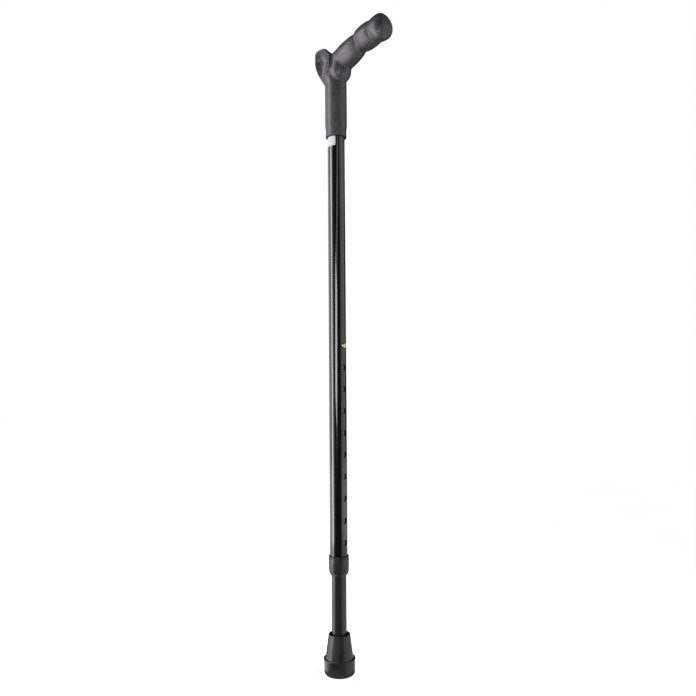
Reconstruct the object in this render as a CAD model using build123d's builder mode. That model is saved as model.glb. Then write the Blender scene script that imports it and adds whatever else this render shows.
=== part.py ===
from build123d import *
import os
from math import cos, radians, sin

os.makedirs("parts", exist_ok=True)

# Adjustable walking cane with an anatomical palm grip. Millimetres. The origin is the centre of the
# ferrule's base, +Z runs up the shaft, and the grip's nose points along +X.

# Tubes: the upper one carries the row of height holes, the lower one slides inside it.
upper_tube_r = 10.0
upper_bore_r = 8.8
upper_tube_bottom = 124.0
upper_tube_top = 692.6
lower_tube_r = 8.5
lower_bore_r = 7.3
lower_tube_bottom = 9.6
lower_tube_top = 431.6
tube_end_chamfer = 0.3
fit_gap = 0.02

# How far a cutting solid runs past the surface that it opens.
cut_margin = 1.0

# Height adjustment: a spring button in the top hole of ten.
hole_count = 10
hole_pitch = 25.0
hole_r = 3.3
button_height = 371.6
button_azimuth = 13.0
button_r = 3.0
button_reach = 11.8
button_root = 5.0
button_flange_r = 4.2
button_flange_thick = 0.8
button_edge = 1.3
button_dimple_r = 0.7
button_dimple_depth = 0.5
spring_thick = 0.5
spring_width = 6.0
spring_drop = 44.0
spring_rise = 8.0
spring_far = -5.9
spring_bend_x = -1.0
spring_bend_rise = 10.0
spring_bend_r = 2.0

# Guide plug on the top end of the lower tube.
guide_r = 8.6
guide_height = 6.0
guide_skirt = 14.0
guide_skirt_r = 7.2
guide_chamfer = 0.8
guide_hole_r = 3.0

# Screw collar, compression ring and split bush at the bottom end of the upper tube.
collar_bottom = 110.1
collar_top = 131.5
collar_r_low = 11.4
collar_r_high = 11.6
collar_bottom_round = 2.6
collar_mouth_r = 8.7
collar_bore_r = 10.8
collar_seat_z = 115.0
collar_top_chamfer = 0.5
bush_r = 10.7
bush_bottom = 117.2
bush_top = 130.4
bush_guide_r = 8.58
bush_slot_count = 4
bush_slot_start = 45.0
bush_slot_length = 6.0
bush_slot_width = 1.2
bush_slot_depth = 5.0
bush_chamfer = 1.0
ring_bottom = 112.6
ring_top = 117.0
ring_bore_r = 8.6
ring_seat_gap = 0.15
ring_toe = 0.5
ring_split_length = 4.0
ring_split_width = 1.2

# Rubber ferrule with a steel washer under the tube's end.
ferrule_top = 44.0
ferrule_mouth_r = 12.25
ferrule_waist_r = 15.0
ferrule_step_z = 16.6
ferrule_lip_r = 18.15
ferrule_lip_z = 15.0
ferrule_base_r = 17.5
ferrule_base_round = 2.6
ferrule_mouth_chamfer = 1.4
ferrule_bore_r = 8.55
washer_thick = 1.6
washer_r = 8.5
washer_hole_r = 3.0
tread_depth = 1.6
tread_grooves = [(4.0, 5.6), (8.4, 10.0), (12.6, 14.2)]

# Label round the upper tube, just under the grip's socket.
label_bottom = 606.6
label_top = 617.8
label_thick = 0.12
label_from = -170.0
label_to = -44.0

# Socket and palm plate of the grip: ellipses that grow back and to the right from the socket's circle.
socket_bottom = 618.6
socket_rim_r = 12.4
socket_r = 12.15
socket_rim_height = 5.0
neck_z = 675.6
plate_top = 723.6
plate_azimuth = -145.0
plate_setback = 8.0
plate_half_length = 17.2
plate_half_width = 15.0
plate_growth = [(680.6, 0.0), (686.6, 0.25), (692.6, 0.525), (698.6, 0.763), (704.6, 0.929), (711.6, 1.0)]
dish_r = 46.0
dish_depth = 3.5
dish_round = 1.5
plate_rim_depth = 8.0

# Grip: a body of revolution about a nearly level axis, swelling between the finger grooves.
grip_root_z = 710.6
grip_tilt = 5.8
grip_length = 88.0
grip_profile = [
    (-4.0, 8.0),
    (4.0, 11.4),
    (14.0, 12.8),
    (25.0, 12.0),
    (36.5, 14.0),
    (48.0, 12.4),
    (59.5, 14.4),
    (71.0, 14.1),
    (80.5, 15.8),
]
grip_corner = (86.2, 10.8)
grip_start_slope = 0.3
chin_centre = (8.5, 0.0, 696.6)
chin_r = 13.2

# Stiff core inside the grip, with the plug that fills the top of the upper tube.
core_plug_r = 8.68
core_plug_bottom = 637.6
core_cap_r = 9.9
core_cap_top = 699.6
core_post_r = 8.0
core_arm_r = 6.0
core_arm_end = 66.0

# Screw that holds the socket to the tube and the core, at the back left, clear of the palm plate.
screw_height = 645.6
screw_azimuth = 140.0
screw_r = 1.5
screw_head_r = 2.9
screw_head_face = 12.05
screw_head_depth = 1.5
screw_tip = 3.0
screw_clearance = 0.1
screw_slot_length = 3.0
screw_slot_width = 0.6
screw_slot_depth = 0.7

button_dir = Vector(cos(radians(button_azimuth)), sin(radians(button_azimuth)), 0)
button_side = Vector(-sin(radians(button_azimuth)), cos(radians(button_azimuth)), 0)
screw_dir = Vector(cos(radians(screw_azimuth)), sin(radians(screw_azimuth)), 0)
screw_side = Vector(-sin(radians(screw_azimuth)), cos(radians(screw_azimuth)), 0)
plate_dir = Vector(cos(radians(plate_azimuth)), sin(radians(plate_azimuth)), 0)
grip_dir = Vector(cos(radians(grip_tilt)), 0, sin(radians(grip_tilt)))
grip_root = Vector(0, 0, grip_root_z)
grip_axis = Axis(grip_root, grip_dir)
grip_plane = Plane(origin=grip_root, x_dir=grip_dir, z_dir=(0, -1, 0))


def radial_plane(direction, side, height, distance):
    """A plane that faces along a radius, at a distance from the shaft's axis."""
    return Plane(origin=direction * distance + Vector(0, 0, height), x_dir=side, z_dir=direction)


def ring_between(low, high, outer_r, inner_r):
    """Adds a plain ring from low to high to the part being built."""
    with BuildSketch(Plane.XY.offset(low)) as section:
        Circle(outer_r)
        Circle(inner_r, mode=Mode.SUBTRACT)
    extrude(section.sketch, amount=high - low)


# Upper tube, with its ten height holes and the hole for the handle's screw.
with BuildPart() as upper_tube:
    ring_between(upper_tube_bottom, upper_tube_top, upper_tube_r, upper_bore_r)
    chamfer(upper_tube.edges().group_by(Axis.Z)[-1], length=tube_end_chamfer)
    for index in range(hole_count):
        with BuildSketch(radial_plane(button_dir, button_side, button_height - index * hole_pitch, 0)):
            Circle(hole_r)
        extrude(amount=upper_tube_r + cut_margin, mode=Mode.SUBTRACT)
    with BuildSketch(radial_plane(screw_dir, screw_side, screw_height, 0)):
        Circle(screw_r + screw_clearance)
    extrude(amount=upper_tube_r + cut_margin, mode=Mode.SUBTRACT)
upper_tube.part.label = "upper_tube"
export_step(upper_tube.part, "parts/upper_tube.step")

# Lower tube, with the one hole that its button stands in.
with BuildPart() as lower_tube:
    ring_between(lower_tube_bottom, lower_tube_top, lower_tube_r, lower_bore_r)
    with BuildSketch(radial_plane(button_dir, button_side, button_height, 0)):
        Circle(hole_r)
    extrude(amount=lower_tube_r + cut_margin, mode=Mode.SUBTRACT)
lower_tube.part.label = "lower_tube"
export_step(lower_tube.part, "parts/lower_tube.step")

# Guide plug: a nylon flange that runs in the upper tube, on a skirt pushed into the lower one.
with BuildPart() as guide_plug:
    with BuildSketch(Plane.XY.offset(lower_tube_top)):
        Circle(guide_r)
    extrude(amount=guide_height)
    chamfer(guide_plug.edges().group_by(Axis.Z)[-1], length=guide_chamfer)
    with BuildSketch(Plane.XY.offset(lower_tube_top)):
        Circle(guide_skirt_r)
    extrude(amount=-guide_skirt)
    with BuildSketch(Plane.XY.offset(lower_tube_top - guide_skirt)):
        Circle(guide_hole_r)
    extrude(amount=guide_skirt + guide_height, mode=Mode.SUBTRACT)
guide_plug.part.label = "guide_plug"
export_step(guide_plug.part, "parts/guide_plug.step")

# Snap button: a domed brass-coloured pin with a flange that rests inside the lower tube.
with BuildPart() as snap_button:
    with BuildSketch(radial_plane(button_dir, button_side, button_height, button_root)):
        Circle(button_flange_r)
    extrude(amount=button_flange_thick)
    with BuildSketch(radial_plane(button_dir, button_side, button_height, button_root)):
        Circle(button_r)
    extrude(amount=button_reach - button_root)
    outer_rim = snap_button.edges().sort_by(Axis(origin=(0, 0, 0), direction=button_dir))[-1]
    fillet(outer_rim, radius=button_edge)
    with BuildSketch(radial_plane(button_dir, button_side, button_height, button_reach)):
        Circle(button_dimple_r)
    extrude(amount=-button_dimple_depth, mode=Mode.SUBTRACT)
snap_button.part.label = "snap_button"
export_step(snap_button.part, "parts/snap_button.step")

# Leaf spring, bent to a V, that pushes the button out and stands on the tube's far wall.
spring_plane = Plane(origin=(0, 0, button_height), x_dir=button_dir, z_dir=-button_side)
spring_near = button_root - spring_thick / 2
with BuildPart() as button_spring:
    with BuildSketch(spring_plane):
        with BuildLine():
            FilletPolyline(
                (spring_near, spring_rise),
                (spring_near, -spring_rise),
                (spring_bend_x, -spring_drop),
                (spring_far, -spring_drop + spring_bend_rise),
                (spring_far, spring_rise),
                radius=spring_bend_r,
            )
        trace(line_width=spring_thick)
    extrude(amount=spring_width / 2, both=True)
button_spring.part.label = "button_spring"
export_step(button_spring.part, "parts/button_spring.step")

# Split bush on the end of the upper tube: its skirt holds the tube, its slotted end grips.
with BuildPart() as collet_bush:
    ring_between(upper_tube_bottom, bush_top, bush_r, upper_tube_r + fit_gap)
    ring_between(bush_bottom, upper_tube_bottom, bush_r, bush_guide_r)
    bush_nose = collet_bush.edges().group_by(Axis.Z)[0].sort_by(SortBy.RADIUS)[-1]
    chamfer(bush_nose, length=bush_chamfer)
    with BuildSketch(Plane.XY.offset(bush_bottom)):
        with PolarLocations(upper_tube_r, bush_slot_count, start_angle=bush_slot_start):
            Rectangle(bush_slot_length, bush_slot_width)
    extrude(amount=bush_slot_depth, mode=Mode.SUBTRACT)
collet_bush.part.label = "collet_bush"
export_step(collet_bush.part, "parts/collet_bush.step")

# Compression ring, wedged between the bush and the collar's seat.
with BuildPart() as compression_ring:
    with BuildSketch(Plane.XZ):
        with BuildLine():
            Polyline(
                (ring_bore_r, ring_bottom),
                (ring_bore_r + ring_toe, ring_bottom),
                (collar_bore_r - ring_seat_gap, collar_seat_z + ring_seat_gap),
                (collar_bore_r - ring_seat_gap, ring_top),
                (ring_bore_r, ring_top),
                close=True,
            )
        make_face()
    revolve(axis=Axis.Z)
    with BuildSketch(Plane.XY.offset(ring_bottom)):
        with Locations(((ring_bore_r + collar_bore_r) / 2, 0)):
            Rectangle(ring_split_length, ring_split_width)
    extrude(amount=ring_top - ring_bottom, mode=Mode.SUBTRACT)
compression_ring.part.label = "compression_ring"
export_step(compression_ring.part, "parts/compression_ring.step")

# Locking collar: turned to squeeze the ring on the lower tube.
with BuildPart() as locking_collar:
    with BuildSketch(Plane.XZ):
        with BuildLine():
            Polyline(
                (collar_mouth_r, collar_bottom),
                (collar_r_low, collar_bottom),
                (collar_r_high, collar_top),
                (collar_bore_r, collar_top),
                (collar_bore_r, collar_seat_z),
                (ring_bore_r + ring_toe, ring_bottom - ring_seat_gap),
                (collar_mouth_r, ring_bottom - ring_seat_gap),
                close=True,
            )
        make_face()
    revolve(axis=Axis.Z)
    lower_rim = locking_collar.edges().group_by(Axis.Z)[0].sort_by(SortBy.RADIUS)[-1]
    fillet(lower_rim, radius=collar_bottom_round)
    upper_rim = locking_collar.edges().group_by(Axis.Z)[-1].sort_by(SortBy.RADIUS)[-1]
    fillet(upper_rim, radius=collar_top_chamfer)
locking_collar.part.label = "locking_collar"
export_step(locking_collar.part, "parts/locking_collar.step")

# Rubber ferrule: a cone on a thick base ring, with a blind bore and a ringed tread.
with BuildPart() as rubber_ferrule:
    with BuildSketch(Plane.XZ):
        with BuildLine():
            Polyline(
                (0, 0),
                (ferrule_base_r, 0),
                (ferrule_lip_r, ferrule_lip_z),
                (ferrule_waist_r, ferrule_step_z),
                (ferrule_mouth_r, ferrule_top),
                (ferrule_bore_r, ferrule_top),
                (ferrule_bore_r, lower_tube_bottom - washer_thick),
                (0, lower_tube_bottom - washer_thick),
                close=True,
            )
        make_face()
    revolve(axis=Axis.Z)
    base_rim = rubber_ferrule.edges().group_by(Axis.Z)[0].sort_by(SortBy.RADIUS)[-1]
    fillet(base_rim, radius=ferrule_base_round)
    mouth_rim = rubber_ferrule.edges().group_by(Axis.Z)[-1].sort_by(SortBy.RADIUS)[-1]
    fillet(mouth_rim, radius=ferrule_mouth_chamfer)
    for inner, outer in tread_grooves:
        with BuildSketch(Plane.XY):
            Circle(outer)
            Circle(inner, mode=Mode.SUBTRACT)
        extrude(amount=tread_depth, mode=Mode.SUBTRACT)
rubber_ferrule.part.label = "rubber_ferrule"
export_step(rubber_ferrule.part, "parts/rubber_ferrule.step")

# Steel washer that keeps the tube from cutting through the rubber.
with BuildPart() as ferrule_washer:
    ring_between(lower_tube_bottom - washer_thick, lower_tube_bottom, washer_r, washer_hole_r)
ferrule_washer.part.label = "ferrule_washer"
export_step(ferrule_washer.part, "parts/ferrule_washer.step")

# Blank label, wrapped part of the way round the upper tube.
with BuildPart() as label_sticker:
    with BuildSketch(Plane.XY.offset(label_bottom)):
        with BuildLine():
            outer_arc = CenterArc((0, 0), upper_tube_r + label_thick, label_from, label_to - label_from)
            inner_arc = CenterArc((0, 0), upper_tube_r, label_from, label_to - label_from)
            Line(outer_arc @ 0, inner_arc @ 0)
            Line(outer_arc @ 1, inner_arc @ 1)
        make_face()
    extrude(amount=label_top - label_bottom)
label_sticker.part.label = "label_sticker"
export_step(label_sticker.part, "parts/label_sticker.step")

# Screw through the socket.
with BuildPart() as handle_screw:
    with BuildSketch(radial_plane(screw_dir, screw_side, screw_height, screw_tip)):
        Circle(screw_r)
    extrude(amount=screw_head_face - screw_tip)
    with BuildSketch(radial_plane(screw_dir, screw_side, screw_height, screw_head_face)):
        Circle(screw_head_r)
    with BuildSketch(
        radial_plane(screw_dir, screw_side, screw_height, screw_head_face - screw_head_depth)
    ):
        Circle(screw_r)
    loft()
    with BuildSketch(radial_plane(screw_dir, screw_side, screw_height, screw_head_face)):
        Rectangle(screw_slot_length, screw_slot_width)
        Rectangle(screw_slot_width, screw_slot_length)
    extrude(amount=-screw_slot_depth, mode=Mode.SUBTRACT)
handle_screw.part.label = "handle_screw"
export_step(handle_screw.part, "parts/handle_screw.step")

# Core: a plug in the tube, a cap on its end and an arm along the grip.
with BuildPart() as handle_core:
    with BuildSketch(Plane.XY.offset(core_plug_bottom)):
        Circle(core_plug_r)
    extrude(amount=upper_tube_top - core_plug_bottom)
    with BuildSketch(Plane.XY.offset(upper_tube_top)):
        Circle(core_cap_r)
    extrude(amount=core_cap_top - upper_tube_top)
    with BuildSketch(Plane.XY.offset(core_cap_top)):
        Circle(core_post_r)
    extrude(amount=grip_root_z - core_cap_top)
    with BuildSketch(Plane(origin=grip_root - grip_dir * core_arm_r, x_dir=(0, 1, 0), z_dir=grip_dir)):
        Circle(core_arm_r)
    extrude(amount=core_arm_end + core_arm_r)
    with BuildSketch(radial_plane(screw_dir, screw_side, screw_height, screw_tip - cut_margin)):
        Circle(screw_r + fit_gap)
    extrude(amount=core_plug_r, mode=Mode.SUBTRACT)
handle_core.part.label = "handle_core"
export_step(handle_core.part, "parts/handle_core.step")

# Grip: socket, palm plate and finger-grooved arm in one moulding.
with BuildPart() as handle_grip:
    with BuildSketch(Plane.XY.offset(socket_bottom)):
        Circle(socket_rim_r)
    with BuildSketch(Plane.XY.offset(socket_bottom + socket_rim_height)):
        Circle(socket_r)
    loft()
    with BuildSketch(Plane.XY.offset(socket_bottom + socket_rim_height)):
        Circle(socket_r)
    extrude(amount=neck_z - socket_bottom - socket_rim_height)
    for height, growth in [(neck_z, 0.0)] + plate_growth + [(plate_top, 1.0)]:
        plate_middle = plate_dir * plate_setback * growth + Vector(0, 0, height)
        with BuildSketch(Plane(origin=plate_middle, x_dir=plate_dir, z_dir=(0, 0, 1))):
            Ellipse(
                socket_r + (plate_half_length - socket_r) * growth,
                socket_r + (plate_half_width - socket_r) * growth,
            )
    loft()
    with Locations(plate_dir * plate_setback + Vector(0, 0, plate_top - dish_depth + dish_r)):
        Sphere(dish_r, mode=Mode.SUBTRACT)
    plate_rim = handle_grip.edges().filter_by(lambda edge: edge.center().Z > plate_top - plate_rim_depth)
    fillet(plate_rim, radius=dish_round)
    with BuildSketch(grip_plane):
        with BuildLine():
            Spline(*grip_profile, tangents=[(1, grip_start_slope), (1, 0)])
            Spline(grip_profile[-1], grip_corner, (grip_length, 0), tangents=[(1, 0), (0, -1)])
            Polyline((grip_length, 0), (grip_profile[0][0], 0), grip_profile[0])
        make_face()
    revolve(axis=grip_axis)
    with Locations(chin_centre):
        Sphere(chin_r)
    with BuildSketch(Plane.XY.offset(socket_bottom)):
        Circle(upper_tube_r)
    extrude(amount=upper_tube_top - socket_bottom, mode=Mode.SUBTRACT)
    add(handle_core.part, mode=Mode.SUBTRACT)
    with BuildSketch(radial_plane(screw_dir, screw_side, screw_height, screw_head_face)):
        Circle(screw_head_r)
    with BuildSketch(
        radial_plane(screw_dir, screw_side, screw_height, screw_head_face - screw_head_depth)
    ):
        Circle(screw_r)
    loft(mode=Mode.SUBTRACT)
    with BuildSketch(radial_plane(screw_dir, screw_side, screw_height, upper_tube_r - cut_margin)):
        Circle(screw_r + screw_clearance)
    extrude(amount=screw_head_face - upper_tube_r + cut_margin, mode=Mode.SUBTRACT)
    with BuildSketch(radial_plane(screw_dir, screw_side, screw_height, screw_head_face)):
        Circle(screw_head_r)
    extrude(amount=cut_margin, mode=Mode.SUBTRACT)
handle_grip.part.label = "handle_grip"
export_step(handle_grip.part, "parts/handle_grip.step")
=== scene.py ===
import math

import bpy
import numpy as np
from mathutils import Matrix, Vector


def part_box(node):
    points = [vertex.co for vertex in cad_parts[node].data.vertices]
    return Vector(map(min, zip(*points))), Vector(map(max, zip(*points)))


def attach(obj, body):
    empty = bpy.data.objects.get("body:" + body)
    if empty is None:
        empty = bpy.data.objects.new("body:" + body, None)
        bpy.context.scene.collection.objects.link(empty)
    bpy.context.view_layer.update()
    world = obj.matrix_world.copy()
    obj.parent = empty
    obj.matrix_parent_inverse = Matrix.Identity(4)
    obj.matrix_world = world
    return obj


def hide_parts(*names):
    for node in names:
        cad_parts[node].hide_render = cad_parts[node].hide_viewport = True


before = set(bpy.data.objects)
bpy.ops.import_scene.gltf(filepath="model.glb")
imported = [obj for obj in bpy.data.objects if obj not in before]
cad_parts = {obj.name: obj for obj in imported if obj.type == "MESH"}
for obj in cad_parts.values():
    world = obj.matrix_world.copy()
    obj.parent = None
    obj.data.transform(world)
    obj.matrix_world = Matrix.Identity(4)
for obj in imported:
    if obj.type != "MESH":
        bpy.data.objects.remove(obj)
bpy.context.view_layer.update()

# Looks of an adjustable walking cane with an anatomical palm grip. The row frame is in metres: +Z runs up
# the shaft, +X the way the grip's nose points. Sizes here are in millimetres and are turned into metres
# by MM where a mesh, the camera or a light is made.
MM = 0.001


def node_box(name):
    """Lowest and highest corner of a CAD node, in millimetres."""
    low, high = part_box(name)
    return np.array(low) / MM, np.array(high) / MM


def node_azimuth(name):
    """Direction from the shaft's axis to the middle of a CAD node, in radians."""
    low, high = node_box(name)
    middle = (low + high) / 2
    return math.atan2(middle[1], middle[0])


# Camera: a 34 mm lens a little below the cane's middle, tilted up a little.
CAMERA_AZIMUTH = math.radians(-39.4)
CAMERA_DISTANCE = 756.9
CAMERA_SIDE = 12.2
CAMERA_HEIGHT = 327.3
CAMERA_PITCH = math.radians(3.16)
CAMERA_ROLL = math.radians(0.429)
CAMERA_LENS = 33.64
CAMERA_SENSOR = 36.0

# Studio: lights on a ring round the shaft: (name, angle, width, low, high, lean, radiance). Angles are from
# the camera's side, positive to its right.
LIGHT_RING = 600.0
KEY_WARMTH = (1.0, 0.955, 0.945)
STUDIO_LIGHTS = [
    ("key_left", -78.0, 220.0, 0.0, 1150.0, 0.0, 9.0),
    ("key_edge", -56.0, 150.0, 0.0, 1150.0, 0.0, 1.2),
    ("fill_back_left", -122.0, 480.0, 0.0, 1150.0, 0.0, 1.4),
    ("strip_low", -16.0, 220.0, 270.0, 560.0, 22.0, 8.0),
    ("strip_high", 6.0, 66.0, 520.0, 860.0, 40.0, 3.0),
    ("panel_right", 80.0, 820.0, 0.0, 1150.0, 0.0, 1.0),
]
WORLD_DIFFUSE = 0.6
WORLD_GLOSSY = 0.03

# Floor, and the sheets of paper on it: (name, from, to, grey, glow), with angles as for the lights.
FLOOR_RINGS = (0, 120, 600, 1800, 6000)
FLOOR_DROP = 0.3
FLOOR_GLOW = 0.45
SHEET_NEAR = 24.0
SHEET_FAR = 1900.0
SHEET_COLUMNS = 16
SHEETS = [("sheet_left", -122.0, -70.0, 0.9, 0.45), ("sheet_right", 38.0, 150.0, 0.45, 0.18)]

# The tubes: how finely they are divided, their row of holes, their bevels and their walls.
TUBE_COLUMNS = 64
HOLE_SIDE = 8
HOLE_PITCH = 25.0
HOLE_COUNT = 10
HOLE_R = 3.3
HOLE_MARGIN = 5.2
HOLE_BEVEL = 0.25
HOLE_RING_SHARES = (0.4, 0.75, 1.0)
TUBE_BEVEL = 0.3
UPPER_WALL = 1.2
LOWER_WALL = 1.2
ROW_STEP = 24.0


# Meshes


def add_object(name, points, faces, body):
    """A mesh object of points in millimetres that rides on a CAD body."""
    mesh = bpy.data.meshes.new(name)
    mesh.from_pydata((np.asarray(points, float) * MM).tolist(), [], [list(map(int, face)) for face in faces])
    mesh.validate()
    mesh.shade_smooth()
    made = bpy.data.objects.new(name, mesh)
    bpy.context.scene.collection.objects.link(made)
    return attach(made, body)


def stand_for(piece, node, material):
    """The piece is shown in place of a CAD node, with a finish."""
    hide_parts(node)
    piece.data.materials.append(material)
    return piece


def even_angles(count):
    """Angles round the shaft, evenly spaced."""
    return [2 * math.pi * index / count for index in range(count)]


def turned(profile, angles, closed=True):
    """Points and faces of a profile of (radius, height) turned about the shaft's axis."""
    points = []
    rings = []
    for radius, height in profile:
        if radius == 0:
            rings.append([len(points)] * len(angles))
            points.append((0, 0, height))
            continue
        rings.append(list(range(len(points), len(points) + len(angles))))
        points += [(radius * math.cos(angle), radius * math.sin(angle), height) for angle in angles]
    faces = []
    for lower, upper in zip(rings, rings[1:] + (rings[:1] if closed else [])):
        for here in range(len(angles)):
            there = (here + 1) % len(angles)
            corners = (lower[here], lower[there], upper[there], upper[here])
            face = list(dict.fromkeys(corners))
            if len(face) > 2:
                faces.append(face)
    return points, faces


def rounded(corners, steps=5):
    """A profile with an arc at each corner that states a radius: corners are (radius, height, rounding)."""
    flat = np.array([corner[:2] for corner in corners], float)
    profile = []
    for index, (x, z, rounding) in enumerate(corners):
        here = flat[index]
        if rounding == 0:
            profile.append((x, z))
            continue
        back = flat[index - 1] - here
        ahead = flat[(index + 1) % len(corners)] - here
        back /= np.linalg.norm(back)
        ahead /= np.linalg.norm(ahead)
        half = math.acos(np.clip(back @ ahead, -1, 1)) / 2
        centre = here + (back + ahead) / np.linalg.norm(back + ahead) * rounding / math.sin(half)
        start = here + back * rounding / math.tan(half) - centre
        end = here + ahead * rounding / math.tan(half) - centre
        sweep = math.pi - 2 * half
        for step in range(steps + 1):
            share = step / steps
            arm = start * math.sin((1 - share) * sweep) + end * math.sin(share * sweep)
            profile.append(tuple(centre + arm / math.sin(sweep)))
    return profile


def wall(radius, low, high, azimuth, hole_heights):
    """One side of a tube's wall: points, faces, and the loops of points round each hole and at each end."""
    across = np.linspace(-HOLE_MARGIN, HOLE_MARGIN, HOLE_SIDE + 1)
    patch = azimuth + np.arcsin(across / radius)
    rest = np.linspace(patch[-1], patch[0] + 2 * math.pi, TUBE_COLUMNS + 1)[1:-1]
    columns = np.concatenate([patch, rest])
    heights = [low]
    patches = []
    for middle in hole_heights:
        patches.append(fill_rows(heights, middle - HOLE_MARGIN))
        heights += list(middle + across[1:])
    fill_rows(heights, high)
    points = [(radius * math.cos(a), radius * math.sin(a), z) for z in heights for a in columns]
    faces = []
    count = len(columns)
    for row in range(len(heights) - 1):
        in_patch = any(start <= row < start + HOLE_SIDE for start in patches)
        for column in range(HOLE_SIDE if in_patch else 0, count):
            there = (column + 1) % count
            base = row * count
            faces.append((base + column, base + there, base + count + there, base + count + column))
    loops = []
    for start, middle in zip(patches, hole_heights):
        frame_loop = square_loop(start, count)
        loops.append(hole_rings(points, faces, frame_loop, radius, azimuth, middle))
    ends = (list(range(count)), list(range((len(heights) - 1) * count, len(heights) * count)))
    return points, faces, loops, ends


def fill_rows(heights, target):
    """Adds evenly spaced rows up to a height, and returns the number of the last one."""
    steps = max(1, math.ceil((target - heights[-1]) / ROW_STEP))
    heights += list(np.linspace(heights[-1], target, steps + 1)[1:])
    return len(heights) - 1


def square_loop(start, count):
    """The points round a square patch of the wall, in order."""
    bottom = [start * count + column for column in range(HOLE_SIDE)]
    right = [(start + row) * count + HOLE_SIDE for row in range(HOLE_SIDE)]
    top = [(start + HOLE_SIDE) * count + column for column in range(HOLE_SIDE, 0, -1)]
    left = [(start + row) * count for row in range(HOLE_SIDE, 0, -1)]
    return bottom + right + top + left


def hole_rings(points, faces, outer_loop, radius, azimuth, middle):
    """Rings between a square patch's edge and the hole in it. Returns the ring at the hole's rim."""
    side = np.array([-math.sin(azimuth), math.cos(azimuth), 0])
    square = np.array([(np.array(points[index]) @ side, points[index][2] - middle) for index in outer_loop])
    rim = square / np.linalg.norm(square, axis=1)[:, None] * (HOLE_R + HOLE_BEVEL)
    before = outer_loop
    for share in HOLE_RING_SHARES:
        ring = square * (1 - share) + rim * share
        loop = list(range(len(points), len(points) + len(ring)))
        points += [on_wall(radius, azimuth, across, middle + rise) for across, rise in ring]
        join(faces, before, loop)
        before = loop
    return before


def on_wall(radius, azimuth, across, height, sink=0.0):
    """A point at a distance across the line at an azimuth, on a cylinder or sunk below it."""
    out = math.sqrt(radius**2 - across**2) - sink
    x = out * math.cos(azimuth) - across * math.sin(azimuth)
    y = out * math.sin(azimuth) + across * math.cos(azimuth)
    return (x, y, height)


def join(faces, first, second):
    """Faces between two loops of the same length."""
    for here in range(len(first)):
        there = (here + 1) % len(first)
        faces.append((first[here], first[there], second[there], second[here]))


def tube_with_holes(outer_r, inner_r, low, high, azimuth, hole_heights):
    """A closed tube with bevelled ends and bevelled round holes through one side."""
    outside = wall(outer_r, low + TUBE_BEVEL, high - TUBE_BEVEL, azimuth, hole_heights)
    inside = wall(inner_r, low + TUBE_BEVEL, high - TUBE_BEVEL, azimuth, hole_heights)
    shift = len(outside[0])
    points = outside[0] + inside[0]
    faces = outside[1] + [[index + shift for index in reversed(face)] for face in inside[1]]
    for loop, inner_loop, middle in zip(outside[2], inside[2], hole_heights):
        turn = [math.atan2(points[i][2] - middle, across_of(points[i], azimuth)) for i in loop]
        before = loop
        for radius, sink in ((outer_r, HOLE_BEVEL), (inner_r, -HOLE_BEVEL)):
            ring = list(range(len(points), len(points) + len(turn)))
            for angle in turn:
                across = HOLE_R * math.cos(angle)
                points.append(on_wall(radius, azimuth, across, middle + HOLE_R * math.sin(angle), sink))
            join(faces, before, ring)
            before = ring
        join(faces, before, [index + shift for index in inner_loop])
    for side, height in ((0, low), (1, high)):
        outer_end = outside[3][side]
        inner_end = [index + shift for index in inside[3][side]]
        rings = [outer_end]
        for radius, end in ((outer_r - TUBE_BEVEL, outer_end), (inner_r + TUBE_BEVEL, inner_end)):
            rings.append(list(range(len(points), len(points) + len(end))))
            for index in end:
                angle = math.atan2(points[index][1], points[index][0])
                points.append((radius * math.cos(angle), radius * math.sin(angle), height))
        rings.append(inner_end)
        for first, second in zip(rings, rings[1:]):
            join(faces, *((second, first) if side == 0 else (first, second)))
    return points, faces


def across_of(point, azimuth):
    """How far a point is across the line at an azimuth."""
    return point[1] * math.cos(azimuth) - point[0] * math.sin(azimuth)


def button_height():
    """Height of the middle of the button, which stands in the top hole."""
    low, high = node_box("snap_button")
    return (low[2] + high[2]) / 2


def keep_edges(piece, degrees):
    """Edges sharper than an angle stay crisp under smooth shading."""
    piece.data.set_sharp_from_angle(angle=math.radians(degrees))
    return piece


# Materials


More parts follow.
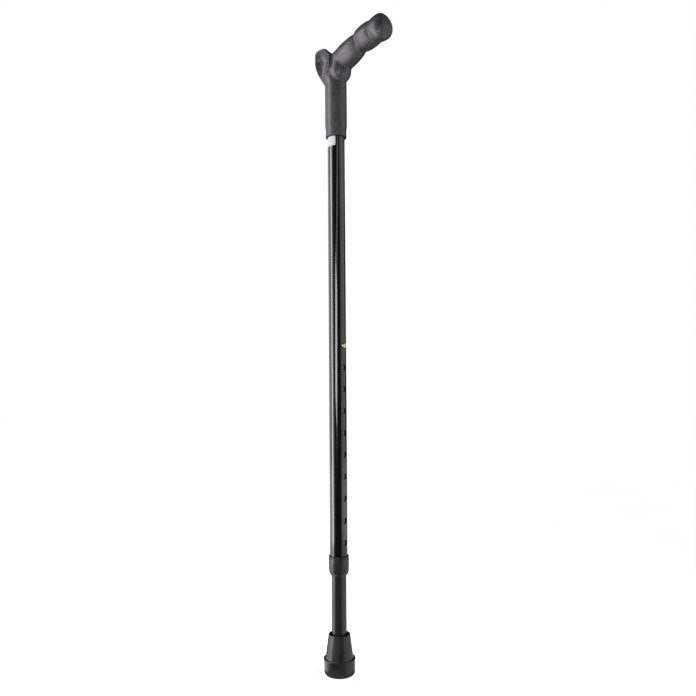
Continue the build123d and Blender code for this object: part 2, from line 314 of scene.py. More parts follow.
class Finish:
    """A Principled material with helpers for the textures that vary its colour, gloss and relief."""

    def __init__(self, name, **sockets):
        self.material = bpy.data.materials.new(name)
        self.material.use_nodes = True
        self.nodes = self.material.node_tree.nodes
        self.links = self.material.node_tree.links
        self.shader = self.nodes["Principled BSDF"]
        for socket, value in sockets.items():
            self.shader.inputs[socket.replace("_", " ")].default_value = value
        self.place = self.nodes.new("ShaderNodeTexCoord").outputs["Object"]

    def noise(self, scale, detail=4.0, roughness=0.6, stretch=(1, 1, 1), distortion=0.0):
        """Noise in the object's own space, with features 1/scale metres wide."""
        mapping = self.nodes.new("ShaderNodeMapping")
        mapping.inputs["Scale"].default_value = stretch
        self.links.new(self.place, mapping.inputs["Vector"])
        texture = self.nodes.new("ShaderNodeTexNoise")
        texture.inputs["Scale"].default_value = scale
        texture.inputs["Detail"].default_value = detail
        texture.inputs["Roughness"].default_value = roughness
        texture.inputs["Distortion"].default_value = distortion
        self.links.new(mapping.outputs["Vector"], texture.inputs["Vector"])
        return texture.outputs["Fac"]

    def cells(self, scale):
        """Distance to the nearest cell centre, for pebbled grain."""
        texture = self.nodes.new("ShaderNodeTexVoronoi")
        texture.feature = "SMOOTH_F1"
        texture.inputs["Scale"].default_value = scale
        self.links.new(self.place, texture.inputs["Vector"])
        return texture.outputs["Distance"]

    def height(self):
        """Height above the floor, in metres."""
        split = self.nodes.new("ShaderNodeSeparateXYZ")
        self.links.new(self.place, split.inputs["Vector"])
        return split.outputs["Z"]

    def spread(self, value, lowest, highest, start=0.0, end=1.0):
        """Stretches a value between two numbers."""
        ranged = self.nodes.new("ShaderNodeMapRange")
        ranged.inputs["From Min"].default_value = start
        ranged.inputs["From Max"].default_value = end
        ranged.inputs["To Min"].default_value = lowest
        ranged.inputs["To Max"].default_value = highest
        self.links.new(value, ranged.inputs["Value"])
        return ranged.outputs["Result"]

    def tint(self, value, dark, light, start=0.35, end=0.65):
        """A colour that runs between two colours as a value rises."""
        ramp = self.nodes.new("ShaderNodeValToRGB")
        ramp.color_ramp.elements[0].position = start
        ramp.color_ramp.elements[0].color = (*dark, 1)
        ramp.color_ramp.elements[1].position = end
        ramp.color_ramp.elements[1].color = (*light, 1)
        self.links.new(value, ramp.inputs["Fac"])
        return ramp.outputs["Color"]

    def blend(self, amount, first, second):
        """Mixes two colours by an amount."""
        mix = self.nodes.new("ShaderNodeMix")
        mix.data_type = "RGBA"
        self.links.new(amount, mix.inputs[0])
        self.links.new(first, mix.inputs[6])
        self.links.new(second, mix.inputs[7])
        return mix.outputs[2]

    def relief(self, *layers):
        """Stacks bump layers of (height, distance in millimetres, strength)."""
        before = None
        for value, distance, strength in layers:
            bump = self.nodes.new("ShaderNodeBump")
            bump.inputs["Distance"].default_value = distance * MM
            bump.inputs["Strength"].default_value = strength
            self.links.new(value, bump.inputs["Height"])
            if before is not None:
                self.links.new(before, bump.inputs["Normal"])
            before = bump.outputs["Normal"]
        self.links.new(before, self.shader.inputs["Normal"])

    def set(self, socket, value):
        """Feeds a texture to one of the shader's sockets."""
        self.links.new(value, self.shader.inputs[socket])


def grip_plastic():
    """Charcoal moulded plastic with a fine pebble grain, cloudy where the mould was worn."""
    finish = Finish("grip_plastic", Specular_IOR_Level=0.42)
    cloud = finish.noise(55, detail=5, roughness=0.65)
    speck = finish.noise(520, detail=5, roughness=0.75)
    soft = finish.tint(cloud, (0.0135, 0.0155, 0.0225), (0.029, 0.0275, 0.03), 0.36, 0.64)
    grain = finish.tint(speck, (0.003, 0.0035, 0.0055), (0.054, 0.051, 0.056), 0.38, 0.66)
    finish.set("Base Color", finish.blend(finish.spread(cloud, 0.45, 0.9), soft, grain))
    finish.set("Roughness", finish.spread(speck, 0.3, 0.5, 0.35, 0.65))
    finish.relief((finish.cells(950), 0.1, 0.4), (speck, 0.05, 0.3), (cloud, 0.5, 0.25))
    return finish.material


def gloss_paint():
    """Gloss black paint over aluminium: faint orange peel, a little dust and hairline scratches."""
    finish = Finish("gloss_paint", Specular_IOR_Level=0.55, Coat_Weight=0.35, Coat_Roughness=0.06)
    dust = finish.noise(140, detail=6, roughness=0.7)
    scratch = finish.noise(900, detail=3, stretch=(1, 1, 0.03))
    black = finish.tint(dust, (0.0012, 0.0012, 0.0016), (0.0045, 0.0045, 0.0055), 0.45, 0.85)
    finish.set("Base Color", black)
    finish.set("Roughness", finish.spread(scratch, 0.1, 0.2, 0.35, 0.75))
    finish.relief((finish.noise(160, detail=1), 0.02, 0.05), (scratch, 0.002, 0.04))
    return finish.material


def satin_anodised():
    """Satin black anodising with the fine lengthwise lines of drawn tube."""
    finish = Finish("satin_anodised", Metallic=0.0, Specular_IOR_Level=0.6)
    drawn = finish.noise(1100, detail=4, stretch=(1, 1, 0.012))
    cloud = finish.noise(90, detail=4)
    finish.set("Base Color", finish.tint(drawn, (0.005, 0.005, 0.006), (0.012, 0.012, 0.0135), 0.3, 0.7))
    finish.set("Roughness", finish.spread(cloud, 0.19, 0.27))
    finish.relief((drawn, 0.01, 0.25))
    return finish.material


def collar_plastic():
    """Dark moulded plastic with a light spark-eroded texture."""
    finish = Finish("collar_plastic", Specular_IOR_Level=0.5)
    spark = finish.noise(1300, detail=3)
    finish.set("Base Color", finish.tint(spark, (0.005, 0.0052, 0.0065), (0.013, 0.013, 0.0145), 0.3, 0.7))
    finish.set("Roughness", finish.spread(spark, 0.26, 0.38))
    finish.relief((spark, 0.05, 0.35))
    return finish.material


def ferrule_rubber():
    """Black rubber: fine skin, grey bloom in patches and dust low down."""
    finish = Finish("ferrule_rubber", Specular_IOR_Level=0.5)
    bloom = finish.noise(110, detail=6, roughness=0.7)
    skin = finish.noise(1700, detail=3)
    body = finish.tint(bloom, (0.006, 0.006, 0.0075), (0.016, 0.016, 0.018), 0.35, 0.72)
    dusty = finish.tint(skin, (0.018, 0.0175, 0.017), (0.036, 0.035, 0.033), 0.3, 0.75)
    low_down = finish.spread(finish.height(), 0.75, 0.0, 0.0, 0.012)
    finish.set("Base Color", finish.blend(low_down, body, dusty))
    finish.set("Roughness", finish.spread(bloom, 0.27, 0.4, 0.3, 0.7))
    finish.relief((skin, 0.05, 0.4), (bloom, 0.3, 0.2))
    return finish.material


def label_film():
    """Blank white satin film with a faint paper tooth and slightly greyed patches, its colour painted down
    to grey as painted shade under the strong key light.
    """
    finish = Finish("label_film", Specular_IOR_Level=0.15)
    tooth = finish.noise(1600, detail=2)
    handled = finish.noise(170, detail=4)
    # Painted shade: the white film is given a grey colour so that the strong key light leaves it pale grey
    # rather than white.
    finish.set("Base Color", finish.tint(handled, (0.285, 0.275, 0.295), (0.34, 0.33, 0.35), 0.3, 0.6))
    finish.set("Roughness", finish.spread(tooth, 0.38, 0.55))
    finish.relief((tooth, 0.012, 0.2))
    return finish.material


def metal(name, dark, light, roughness, lines):
    """Bare metal with tool lines, a varied gloss and a slight tarnish."""
    finish = Finish(name, Metallic=1.0)
    tarnish = finish.noise(420, detail=5, roughness=0.7)
    tool = finish.noise(lines, detail=3, stretch=(1, 1, 0.15))
    finish.set("Base Color", finish.tint(tarnish, dark, light, 0.3, 0.7))
    finish.set("Roughness", finish.spread(tool, roughness * 0.8, roughness * 1.35))
    finish.relief((tool, 0.008, 0.2))
    return finish.material


def natural_nylon():
    """Off-white nylon, slightly translucent, with faint flow marks."""
    finish = Finish("natural_nylon", Subsurface_Weight=0.15, Subsurface_Scale=0.002, Specular_IOR_Level=0.45)
    flow = finish.noise(240, detail=4, distortion=1.2)
    finish.set("Base Color", finish.tint(flow, (0.66, 0.65, 0.6), (0.78, 0.77, 0.73), 0.3, 0.7))
    finish.set("Roughness", finish.spread(flow, 0.36, 0.5))
    finish.relief((finish.noise(1200, detail=2), 0.02, 0.2))
    return finish.material


# The sculpted grip: distance fields in millimetres, negative inside. Heights are above the sleeve's rim.

grip_low, grip_high = node_box("handle_grip")
SLEEVE_BOTTOM = grip_low[2]
SLEEVE_R = 12.15
SLEEVE_RIM_R = 12.4
SLEEVE_RIM_HEIGHT = 5.0
SLEEVE_TOP = 86.0
SLEEVE_BORE_TOP = 54.0
BORE_CLEARANCE = 0.05

# The turned sleeve is below the seam, and the sculpted skin above it.
SEAM = 14.0

# The palm plate grows out of the sleeve from its neck to the height where it is full grown. It is turned
# and set back from the shaft, and its top is dished.
NECK = 62.0
PLATE_GROWN = 93.0
PLATE_TOP = 105.0
PLATE_TURN = math.radians(35)
PLATE_SETBACK = 8.0
PLATE_LENGTH = 17.2
PLATE_WIDTH = 15.0
PLATE_POWER = 1.15
DISH_DEPTH = 3.5

# The arm: its line, the bend's direction, its radius, its grooves (where, width, depth), and the slow falls
# of its finger side (from, to, depth).
ARM_ROOT = np.array([0.0, 0.0, 92.0])
ARM_TILT = math.radians(5.8)
ARM_DIRECTION = np.array([math.cos(ARM_TILT), 0.0, math.sin(ARM_TILT)])
ARM_LENGTH = 89.0
ARM_BEND = np.array([-0.088, -0.496, 0.863])
ARM_R = 14.6
ARM_ROOT_SLIMMING = 4.6
ARM_NOSE_SWELL = 0.4
ARM_GROOVES = [(45.5, 7.5, 2.9), (71.0, 5.5, 1.3)]
ARM_FALLS = [(4, 45, 4.6), (47, 90, 3.8), (68, 90, 2.0)]
NOSE_CROWN = 0.008

# Rods that fill the grip out or are cut from it: (start, end, start radius, end radius).
CHIN = ((7.8, 0.0, 77.5), (10.5, 0.0, 90.0), 13.5, 12.6)
SIDE_SCOOP = ((-5.1, -24.3, 88.0), (-9.1, -19.7, 74.0), 15.0, 9.0)
TOP_SADDLE = ((0.8, 9.2, 119.0), (16.3, -13.8, 102.5), 11.0, 11.0)
FRONT_VALLEY = ((8.6, -12.7, 100.0), (8.4, -13.6, 82.0), 3.2, 1.8)

# Rods along the thin edge of the palm plate, which runs down into the sleeve.
EDGE_BEAD = [
    ((4.4, -12.6, 96.0), (4.4, -13.3, 88.0), 1.0, 1.2),
    ((4.4, -13.3, 88.0), (4.0, -12.8, 78.0), 1.2, 1.2),
    ((4.0, -12.8, 78.0), (4.2, -10.9, 64.0), 1.2, 0.9),
]

# The sculpted skin's mesh: its cells, the room round the CAD grip's box, and how points are moved onto it.
SCULPT_STEP = 0.6
SCULPT_ROOM_LOW = (3, 9)
SCULPT_ROOM_HIGH = (4, 4, 5)
SEAM_BAND = 0.9
SETTLING_STEPS = 3
LEAST_SLOPE = 0.2


def soft_min(first, second, width):
    """The lesser of two distances, with a fillet between them."""
    share = np.clip(0.5 + 0.5 * (second - first) / width, 0, 1)
    return second + (first - second) * share - width * share * (1 - share)


def soft_max(first, second, width):
    """The greater of two distances, with a rounded edge between them."""
    return -soft_min(-first, -second, width)


def smooth_step(value, start, end):
    """Rises smoothly from 0 at start to 1 at end."""
    share = np.clip((value - start) / (end - start), 0, 1)
    return share * share * (3 - 2 * share)


def crease(along, middle, width):
    """A narrow valley with a sharp bottom: 1 at its middle, fading to 0."""
    reach = np.abs(along - middle) / width
    return np.exp(-1.3 * (np.sqrt(reach**2 + 0.03) - 0.17))


def slump(along, start, end, depth):
    """A slow fall towards a groove and a quick rise out of it."""
    share = np.clip((along - start) / (end - start), 0, 1)
    return depth * share**1.5 * (1 - smooth_step(along, end, end + 4))


def rod(points, start, end, start_r, end_r):
    """Distance to a rod with round ends whose radius changes evenly along it."""
    start = np.array(start)
    along = np.array(end) - start
    share = np.clip(((points - start) @ along) / (along @ along), 0, 1)
    from_axis = np.linalg.norm(points - start - share[:, None] * along, axis=1)
    return from_axis - start_r - (end_r - start_r) * share


def sleeve_field(points):
    """The sleeve over the tube, with a round top."""
    radius = np.hypot(points[:, 0], points[:, 1])
    return soft_max(radius - SLEEVE_R, points[:, 2] - SLEEVE_TOP, 6.0)


def plate_field(points):
    """The palm plate: a goblet that grows back and to the right out of the sleeve, dished on top."""
    x = points[:, 0] * math.cos(PLATE_TURN) + points[:, 1] * math.sin(PLATE_TURN)
    y = points[:, 1] * math.cos(PLATE_TURN) - points[:, 0] * math.sin(PLATE_TURN)
    z = points[:, 2]
    grow = np.sin(np.pi / 2 * np.clip((z - NECK) / (PLATE_GROWN - NECK), 0, 1)) ** PLATE_POWER
    length = SLEEVE_R + (PLATE_LENGTH - SLEEVE_R) * grow
    width = SLEEVE_R + (PLATE_WIDTH - SLEEVE_R) * grow
    u = (x + PLATE_SETBACK * grow) / length
    v = y / width
    reach = np.hypot(u, v) + 1e-6
    side = (reach - 1) * reach / np.maximum(np.hypot(u / length, v / width), 1e-6)
    bowl = ((x + PLATE_SETBACK) / PLATE_LENGTH) ** 2 + (y / PLATE_WIDTH) ** 2
    top = 0.9 * (z - PLATE_TOP + DISH_DEPTH * (1 - bowl))
    return soft_max(side, top, 3.4)


def arm_field(points):
    """The arm that the fingers close round, swelling between its grooves, which are deeper on its right."""
    offset = points - ARM_ROOT
    along = offset @ ARM_DIRECTION
    bend = 3.2 * smooth_step(along, 10, 50) - 0.6 * smooth_step(along, 66, 82) - 2.3
    across = offset - along[:, None] * ARM_DIRECTION - bend[:, None] * ARM_BEND
    radius = np.linalg.norm(across, axis=1)
    slimming = ARM_ROOT_SLIMMING * (1 - smooth_step(along, -6, 22))
    outline = ARM_R - slimming + ARM_NOSE_SWELL * smooth_step(along, 71, 79)
    outline -= sum(depth * crease(along, middle, width) for middle, width, depth in ARM_GROOVES)
    finger_side = np.clip(-across[:, 1] / np.maximum(radius, 1e-6), 0, 1) ** 2
    outline -= finger_side * sum(slump(along, *fall) for fall in ARM_FALLS)
    nose = along - (ARM_LENGTH - NOSE_CROWN * radius**2)
    return soft_max(soft_max(radius - outline, nose, 7.0), -along - 2, 4.0)


def grip_field(points):
    """The whole grip: sleeve, palm plate, chin and arm, with the hollows between them."""
    wing = soft_min(sleeve_field(points), plate_field(points), 3.0)
    wing = soft_max(wing, -rod(points, *SIDE_SCOOP), 1.2)
    for bead in EDGE_BEAD:
        wing = soft_min(wing, rod(points, *bead), 1.6)
    wing = soft_max(wing, -rod(points, *TOP_SADDLE), 6.0)
    front = soft_min(arm_field(points), rod(points, *CHIN), 2.0)
    return soft_max(soft_min(wing, front, 1.5), -rod(points, *FRONT_VALLEY), 1.0)


def slope(field, points, reach=0.05):
    """Gradient of a field."""
    steps = np.eye(3) * reach
    return np.stack([(field(points + step) - field(points - step)) / (2 * reach) for step in steps], 1)


def surface_net(field, low, high, step):
    """A mesh of the field's zero surface: one point in each cell it crosses, moved onto the surface."""
    counts = np.ceil((np.array(high) - low) / step).astype(int) + 1
    axes = [low[axis] + step * np.arange(counts[axis]) for axis in range(3)]
    grid = np.stack(np.meshgrid(*axes, indexing="ij"), -1).reshape(-1, 3)
    values = field(grid).reshape(counts)
    inside = values < 0
    total = np.zeros((*(counts - 1), 3))
    crossings = np.zeros(counts - 1)
    for axis in range(3):
        for corner in np.ndindex(2, 2, 2):
            if corner[axis] == 0:
                add_crossings(values, axis, corner, total, crossings)
    hit = crossings > 0
    number = np.full(counts - 1, -1)
    number[hit] = np.arange(hit.sum())
    points = np.array(low) + step * (np.argwhere(hit) + total[hit] / crossings[hit][:, None])
    faces = np.concatenate([net_faces(inside, number, axis) for axis in range(3)])
    for _ in range(SETTLING_STEPS):
        gradient = slope(field, points)
        pull = field(points) / np.maximum((gradient**2).sum(1), LEAST_SLOPE)
        points = points - pull[:, None] * gradient
    return points, faces


def cell_corner(values, corner):
    """The grid's values at one corner of every cell."""
    part = tuple(slice(start, size - 1 + start) for start, size in zip(corner, values.shape))
    return values[part]


def add_crossings(values, axis, corner, total, crossings):
    """Adds where the surface crosses one edge of every cell."""
    far = list(corner)
    far[axis] = 1
    first = cell_corner(values, corner)
    second = cell_corner(values, far)
    crossed = (first < 0) != (second < 0)
    share = np.where(crossed, first / np.where(crossed, first - second, 1), 0)
    spot = np.zeros(total.shape) + np.array(corner, float)
    spot[..., axis] += share
    total += spot * crossed[..., None]
    crossings += crossed


def net_faces(inside, number, axis):
    """The faces round every grid edge along an axis that the surface crosses."""
    second, third = (axis + 1) % 3, (axis + 2) % 3
    low_side = np.take(inside, range(inside.shape[axis] - 1), axis)
    high_side = np.take(inside, range(1, inside.shape[axis]), axis)
    edges = np.argwhere(low_side != high_side)
    for across in (second, third):
        edges = edges[(edges[:, across] > 0) & (edges[:, across] < inside.shape[across] - 1)]
    flip = high_side[tuple(edges.T)]
    corners = []
    for back_second, back_third in ((1, 1), (0, 1), (0, 0), (1, 0)):
        cell = edges.copy()
        cell[:, second] -= back_second
        cell[:, third] -= back_third
        corners.append(number[tuple(cell.T)])
    faces = np.stack(corners, 1)
    faces[flip] = faces[flip][:, ::-1]
    return faces


def sculpt_grip(material):
    """The grip: a sculpted skin that runs on into a turned sleeve with a bore."""
    low = np.array([*(grip_low[:2] - SCULPT_ROOM_LOW), SEAM])
    high = grip_high - (0, 0, SLEEVE_BOTTOM) + SCULPT_ROOM_HIGH
    points, faces = surface_net(grip_field, low, high, SCULPT_STEP)
    seam = np.where(points[:, 2] < SEAM + SCULPT_STEP * SEAM_BAND)[0]
    seam = seam[np.argsort(np.arctan2(points[seam, 1], points[seam, 0]))]
    angles = np.arctan2(points[seam, 1], points[seam, 0])
    bore = node_box("upper_tube")[1][0] + BORE_CLEARANCE
    profile = rounded(
        [
            (SLEEVE_R, SLEEVE_RIM_HEIGHT + 3, 0),
            (SLEEVE_R, SLEEVE_RIM_HEIGHT, 0),
            (SLEEVE_RIM_R, 0, 0.7),
            (bore, 0, 0.3),
            (bore, SLEEVE_BORE_TOP, 0),
            (0, SLEEVE_BORE_TOP, 0),
        ]
    )
    sleeve, sleeve_faces = turned(profile[::-1], angles, closed=False)
    shift = len(points)
    faces = [list(face) for face in faces] + [[index + shift for index in face] for face in sleeve_faces]
    top_ring = list(range(shift + len(sleeve) - len(angles), shift + len(sleeve)))
    join(faces, top_ring, list(seam))
    points = np.concatenate([points, sleeve]) + np.array([0, 0, SLEEVE_BOTTOM])
    piece = add_object("palm_grip", points, faces, "upper_shaft")
    return stand_for(keep_edges(piece, 55), "handle_grip", material)


# Turned and wrapped pieces


def upper_tube(material):
    """Gloss tube with its row of ten height holes."""
    low, high = node_box("upper_tube")
    heights = sorted(button_height() - HOLE_PITCH * index for index in range(HOLE_COUNT))
    azimuth = node_azimuth("snap_button")
    shape = tube_with_holes(high[0], high[0] - UPPER_WALL, low[2], high[2], azimuth, heights)
    piece = add_object("shaft_upper", *shape, "upper_shaft")
    return stand_for(keep_edges(piece, 35), "upper_tube", material)


def lower_tube(material):
    """Satin tube with the one hole that the button stands in."""
    low, high = node_box("lower_tube")
    azimuth = node_azimuth("snap_button")
    shape = tube_with_holes(high[0], high[0] - LOWER_WALL, low[2], high[2], azimuth, [button_height()])
    piece = add_object("shaft_lower", *shape, "lower_shaft")
    return stand_for(keep_edges(piece, 35), "lower_tube", material)


def locking_collar(material):
    """Screw collar: a thin lip, a shadow groove under it, and a body that rounds in at the bottom."""
    low, high = node_box("locking_collar")
    bottom, top, wide = low[2], high[2], high[0]
    profile = rounded(
        [
            (8.8, bottom, 0.3),
            (9.5, bottom, 0.5),
            (10.75, bottom + 1.8, 2.0),
            (wide - 0.2, bottom + 5.5, 5.0),
            (wide - 0.05, bottom + 10, 0),
            (wide - 0.02, top - 2.0, 0.35),
            (wide - 0.75, top - 2.15, 0.2),
            (wide - 0.75, top - 1.05, 0.2),
            (wide, top - 0.95, 0.3),
            (wide - 0.05, top, 0.35),
            (10.85, top, 0.2),
            (10.85, bottom + 5, 0),
            (9.15, bottom + 2.4, 0),
            (8.8, bottom + 2.4, 0.15),
        ]
    )
    piece = add_object("lock_collar", *turned(profile, even_angles(112)), "collar")
    return stand_for(keep_edges(piece, 50), "locking_collar", material)


def rubber_ferrule(material):
    """Ferrule: a recessed mouth, a cone, a beaded ledge, a thick base ring and a ringed tread."""
    high = node_box("rubber_ferrule")[1]
    top, wide = high[2], high[0]
    tread = [(4.0, 5.6), (8.4, 10.0), (12.6, 14.2)]
    corners = [(0, 0, 0)]
    for inner, outer in tread:
        corners += [(inner, 0, 0.3), (inner + 0.15, 1.6, 0.2), (outer - 0.15, 1.6, 0.2), (outer, 0, 0.3)]
    corners += [
        (wide - 0.75, 0, 2.6),
        (wide - 0.6, 11, 0),
        (wide - 0.5, 15.2, 0.5),
        (wide, 16.2, 0.4),
        (wide, 17.5, 0.6),
        (15.8, 17.9, 0.6),
        (12.3, top, 0.75),
        (10.9, top, 0.45),
        (10.7, top - 5.5, 0.8),
        (8.56, top - 6.5, 0.3),
        (8.56, 8.0, 0),
        (0, 8.0, 0),
    ]
    shape = turned(rounded(corners), even_angles(128), closed=False)
    piece = add_object("floor_ferrule", *shape, "lower_shaft")
    return stand_for(keep_edges(piece, 50), "rubber_ferrule", material)


def snap_button(material):
    """Domed button with a turned dimple, a shoulder and the flange inside the tube."""
    azimuth = node_azimuth("snap_button")
    profile = rounded(
        [
            (0, 5.0, 0),
            (4.2, 5.0, 0.2),
            (4.2, 5.8, 0.2),
            (3.0, 5.8, 0.2),
            (3.0, 10.6, 0.9),
            (1.9, 11.75, 1.2),
            (0.75, 11.8, 0.15),
            (0.5, 11.35, 0.15),
            (0, 11.3, 0),
        ]
    )
    points, faces = turned(profile, even_angles(64), closed=False)
    local = np.array(points)
    outward = np.array([math.cos(azimuth), math.sin(azimuth), 0])
    side = np.array([-math.sin(azimuth), math.cos(azimuth), 0])
    up = np.array([0, 0, 1.0])
    placed = local[:, :1] * side + local[:, 1:2] * up + local[:, 2:] * outward + up * button_height()
    piece = add_object("height_button", placed, faces, "button")
    return stand_for(keep_edges(piece, 50), "snap_button", material)


LABEL_FROM = math.radians(-170.0)
LABEL_TO = math.radians(-44.0)
LABEL_THICK = 0.12
LABEL_CORNER = 1.6
LABEL_COLUMNS = 60
LABEL_ROWS = (-1.0, -0.5, 0.0, 0.5, 1.0)
LABEL_GAP = 0.01
LABEL_LIFT = 0.12
LABEL_LIFT_RUN = 1.5


def blank_label(material):
    """Blank film wrapped round the tube, with rounded corners and a barely lifted trailing edge."""
    low, high = node_box("label_sticker")
    radius = node_box("upper_tube")[1][0] + LABEL_GAP
    half_height = (high[2] - low[2]) / 2
    half_length = (LABEL_TO - LABEL_FROM) / 2 * radius
    points = []
    for layer in (0.0, LABEL_THICK):
        for column in range(LABEL_COLUMNS + 1):
            along = half_length * math.sin(math.pi * (column / LABEL_COLUMNS - 0.5))
            from_end = half_length - abs(along)
            into_corner = max(0.0, LABEL_CORNER - from_end)
            inset = LABEL_CORNER - math.sqrt(max(0.0, LABEL_CORNER**2 - into_corner**2))
            angle = (LABEL_FROM + LABEL_TO) / 2 + along / radius
            lift = LABEL_LIFT * smooth_step(along, half_length - LABEL_LIFT_RUN, half_length)
            for row in LABEL_ROWS:
                out = radius + layer + lift
                rise = row * (half_height - inset)
                points.append((out * math.cos(angle), out * math.sin(angle), low[2] + half_height + rise))
    faces = label_faces(len(points) // 2)
    piece = add_object("label_blank", points, faces, "upper_shaft")
    return stand_for(keep_edges(piece, 40), "label_sticker", material)


def label_faces(layer_size):
    """Front, back and edge faces of the label's two layers of points."""
    rows = len(LABEL_ROWS)
    faces = []
    for column in range(LABEL_COLUMNS):
        for row in range(rows - 1):
            a = column * rows + row
            quad = (a, a + rows, a + rows + 1, a + 1)
            faces.append([index + layer_size for index in quad])
            faces.append(list(reversed(quad)))
    bottom = [column * rows for column in range(LABEL_COLUMNS + 1)]
    right = [LABEL_COLUMNS * rows + row for row in range(1, rows)]
    top = [column * rows + rows - 1 for column in range(LABEL_COLUMNS - 1, -1, -1)]
    left = [row for row in range(rows - 2, 0, -1)]
    edge = bottom + right + top + left
    join(faces, edge, [index + layer_size for index in edge])
    return faces


def finish_inner_nodes():
    """Materials for the CAD nodes that stay as they are."""
    nylon = natural_nylon()
    screw = metal("blackened_steel", (0.05, 0.05, 0.052), (0.12, 0.12, 0.125), 0.38, 900)
    spring = metal("spring_steel", (0.42, 0.42, 0.44), (0.6, 0.6, 0.62), 0.28, 1200)
    zinc = metal("zinc_steel", (0.5, 0.5, 0.52), (0.68, 0.68, 0.7), 0.34, 700)
    chosen = {
        "handle_core": nylon,
        "collet_bush": nylon,
        "compression_ring": nylon,
        "guide_plug": nylon,
        "handle_screw": screw,
        "button_spring": spring,
        "ferrule_washer": zinc,
    }
    for name, material in chosen.items():
        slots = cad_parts[name].data.materials
        slots.clear()
        slots.append(material)


# Stage


def add_camera():
    """The photograph's viewing angle."""
    towards = np.array([math.cos(CAMERA_AZIMUTH), math.sin(CAMERA_AZIMUTH), 0])
    right = np.array([-towards[1], towards[0], 0])
    up = np.array([0, 0, 1.0])
    eye = towards * CAMERA_DISTANCE + right * CAMERA_SIDE + up * CAMERA_HEIGHT
    forward = -towards * math.cos(CAMERA_PITCH) + up * math.sin(CAMERA_PITCH)
    level_up = np.cross(right, forward)
    rolled_right = right * math.cos(CAMERA_ROLL) - level_up * math.sin(CAMERA_ROLL)
    rolled_up = level_up * math.cos(CAMERA_ROLL) + right * math.sin(CAMERA_ROLL)
    camera = bpy.data.objects.new("camera", bpy.data.cameras.new("camera"))
    camera.data.lens = CAMERA_LENS
    camera.data.sensor_width = CAMERA_SENSOR
    camera.data.clip_start = 0.01
    camera.data.clip_end = 50
    pose = np.eye(4)
    pose[:3, :3] = np.stack([rolled_right, rolled_up, -forward], 1)
    pose[:3, 3] = eye * MM
    camera.matrix_world = Matrix(pose)
    bpy.context.scene.collection.objects.link(camera)
    bpy.context.scene.camera = camera


def add_light(name, angle, width, low, high, lean, radiance):
    """A softbox on the ring round the shaft, facing it. Lean tips its top to the camera's right."""
    azimuth = CAMERA_AZIMUTH + math.radians(angle)
    tip = math.radians(lean)
    height = (high - low) / math.cos(tip)
    light = bpy.data.lights.new(name, "AREA")
    light.shape = "RECTANGLE"
    light.size = width * MM
    light.size_y = height * MM
    light.energy = radiance * math.pi * light.size * light.size_y
    light.color = KEY_WARMTH if name.startswith("key") else (1, 1, 1)
    away = np.array([math.cos(azimuth), math.sin(azimuth), 0])
    side = np.array([-away[1], away[0], 0])
    up = np.array([0, 0, 1.0])
    tall = up * math.cos(tip) + side * math.sin(tip)
    pose = np.eye(4)
    pose[:3, :3] = np.stack([np.cross(tall, away), tall, away], 1)
    pose[:3, 3] = (away * LIGHT_RING + up * (low + high) / 2) * MM
    made = bpy.data.objects.new(name, light)
    made.matrix_world = Matrix(pose)
    made.visible_camera = False
    bpy.context.scene.collection.objects.link(made)


def add_world():
    """Surroundings that are white to the camera, dimmer as diffuse light and near black in reflections."""
    world = bpy.data.worlds.new("studio")
    world.use_nodes = True
    nodes, links = world.node_tree.nodes, world.node_tree.links
    background = nodes["Background"]
    rays = nodes.new("ShaderNodeLightPath")
    seen = nodes.new("ShaderNodeMapRange")
    seen.inputs["To Min"].default_value = WORLD_DIFFUSE
    seen.inputs["To Max"].default_value = 1.0
    links.new(rays.outputs["Is Camera Ray"], seen.inputs["Value"])
    glossy = nodes.new("ShaderNodeMix")
    links.new(rays.outputs["Is Glossy Ray"], glossy.inputs[0])
    links.new(seen.outputs["Result"], glossy.inputs[2])
    glossy.inputs[3].default_value = WORLD_GLOSSY
    links.new(glossy.outputs[0], background.inputs["Strength"])
    background.inputs["Color"].default_value = (1, 1, 1, 1)
    bpy.context.scene.world = world


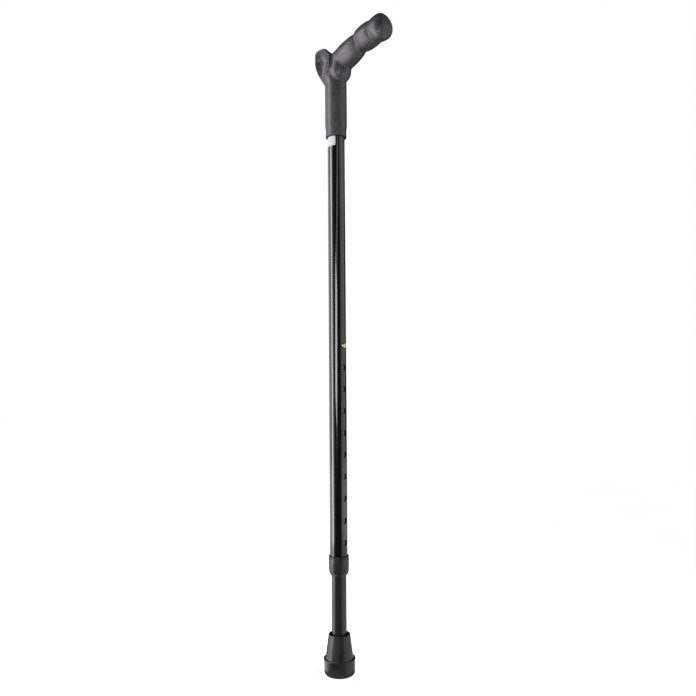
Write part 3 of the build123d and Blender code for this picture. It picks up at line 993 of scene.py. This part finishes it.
def add_floor():
    """A large pale floor, left out of reflections, and the sheets of paper that the shaft reflects."""
    rings = [(radius, 0) for radius in FLOOR_RINGS]
    points, faces = turned(rings, even_angles(64), closed=False)
    finish = Finish("floor_paper", Specular_IOR_Level=0.0, Roughness=1.0, Emission_Strength=FLOOR_GLOW)
    finish.shader.inputs["Emission Color"].default_value = (1, 1, 1, 1)
    finish.set("Base Color", finish.tint(finish.noise(6, detail=2), (0.9, 0.9, 0.9), (0.93, 0.93, 0.93)))
    floor = stage_sheet("floor", np.array(points, float) - np.array([0, 0, FLOOR_DROP]), faces, finish)
    floor.visible_glossy = False
    for sheet_setup in SHEETS:
        add_sheet(*sheet_setup)


def add_sheet(name, start, end, grey, glow):
    """A sector of paper on the floor, seen only in reflections. Angles are from the camera's side."""
    corners = []
    for angle in CAMERA_AZIMUTH + np.radians(np.linspace(start, end, SHEET_COLUMNS + 1)):
        out = np.array([math.cos(angle), math.sin(angle), 0])
        corners += [out * SHEET_NEAR, out * SHEET_FAR]
    quads = [(2 * column, 2 * column + 1, 2 * column + 3, 2 * column + 2) for column in range(SHEET_COLUMNS)]
    finish = Finish(name, Specular_IOR_Level=0.0, Roughness=1.0, Emission_Strength=glow)
    finish.shader.inputs["Emission Color"].default_value = (1, 1, 1, 1)
    finish.set("Base Color", finish.tint(finish.noise(6, detail=2), (grey,) * 3, (grey * 1.04,) * 3))
    sheet = stage_sheet(name, np.array(corners) - np.array([0, 0, FLOOR_DROP / 2]), quads, finish)
    sheet.visible_camera = False
    sheet.visible_diffuse = False


def stage_sheet(name, points, faces, finish):
    """A flat mesh of the stage."""
    mesh = bpy.data.meshes.new(name)
    mesh.from_pydata((points * MM).tolist(), [], faces)
    sheet = bpy.data.objects.new(name, mesh)
    sheet.data.materials.append(finish.material)
    bpy.context.scene.collection.objects.link(sheet)
    return sheet


add_camera()
add_world()
add_floor()
for light_setup in STUDIO_LIGHTS:
    add_light(*light_setup)
bpy.context.scene.view_settings.view_transform = "Standard"

sculpt_grip(grip_plastic())
upper_tube(gloss_paint())
lower_tube(satin_anodised())
locking_collar(collar_plastic())
rubber_ferrule(ferrule_rubber())
snap_button(metal("pale_brass", (0.46, 0.41, 0.25), (0.66, 0.6, 0.4), 0.36, 1500))
blank_label(label_film())
finish_inner_nodes()
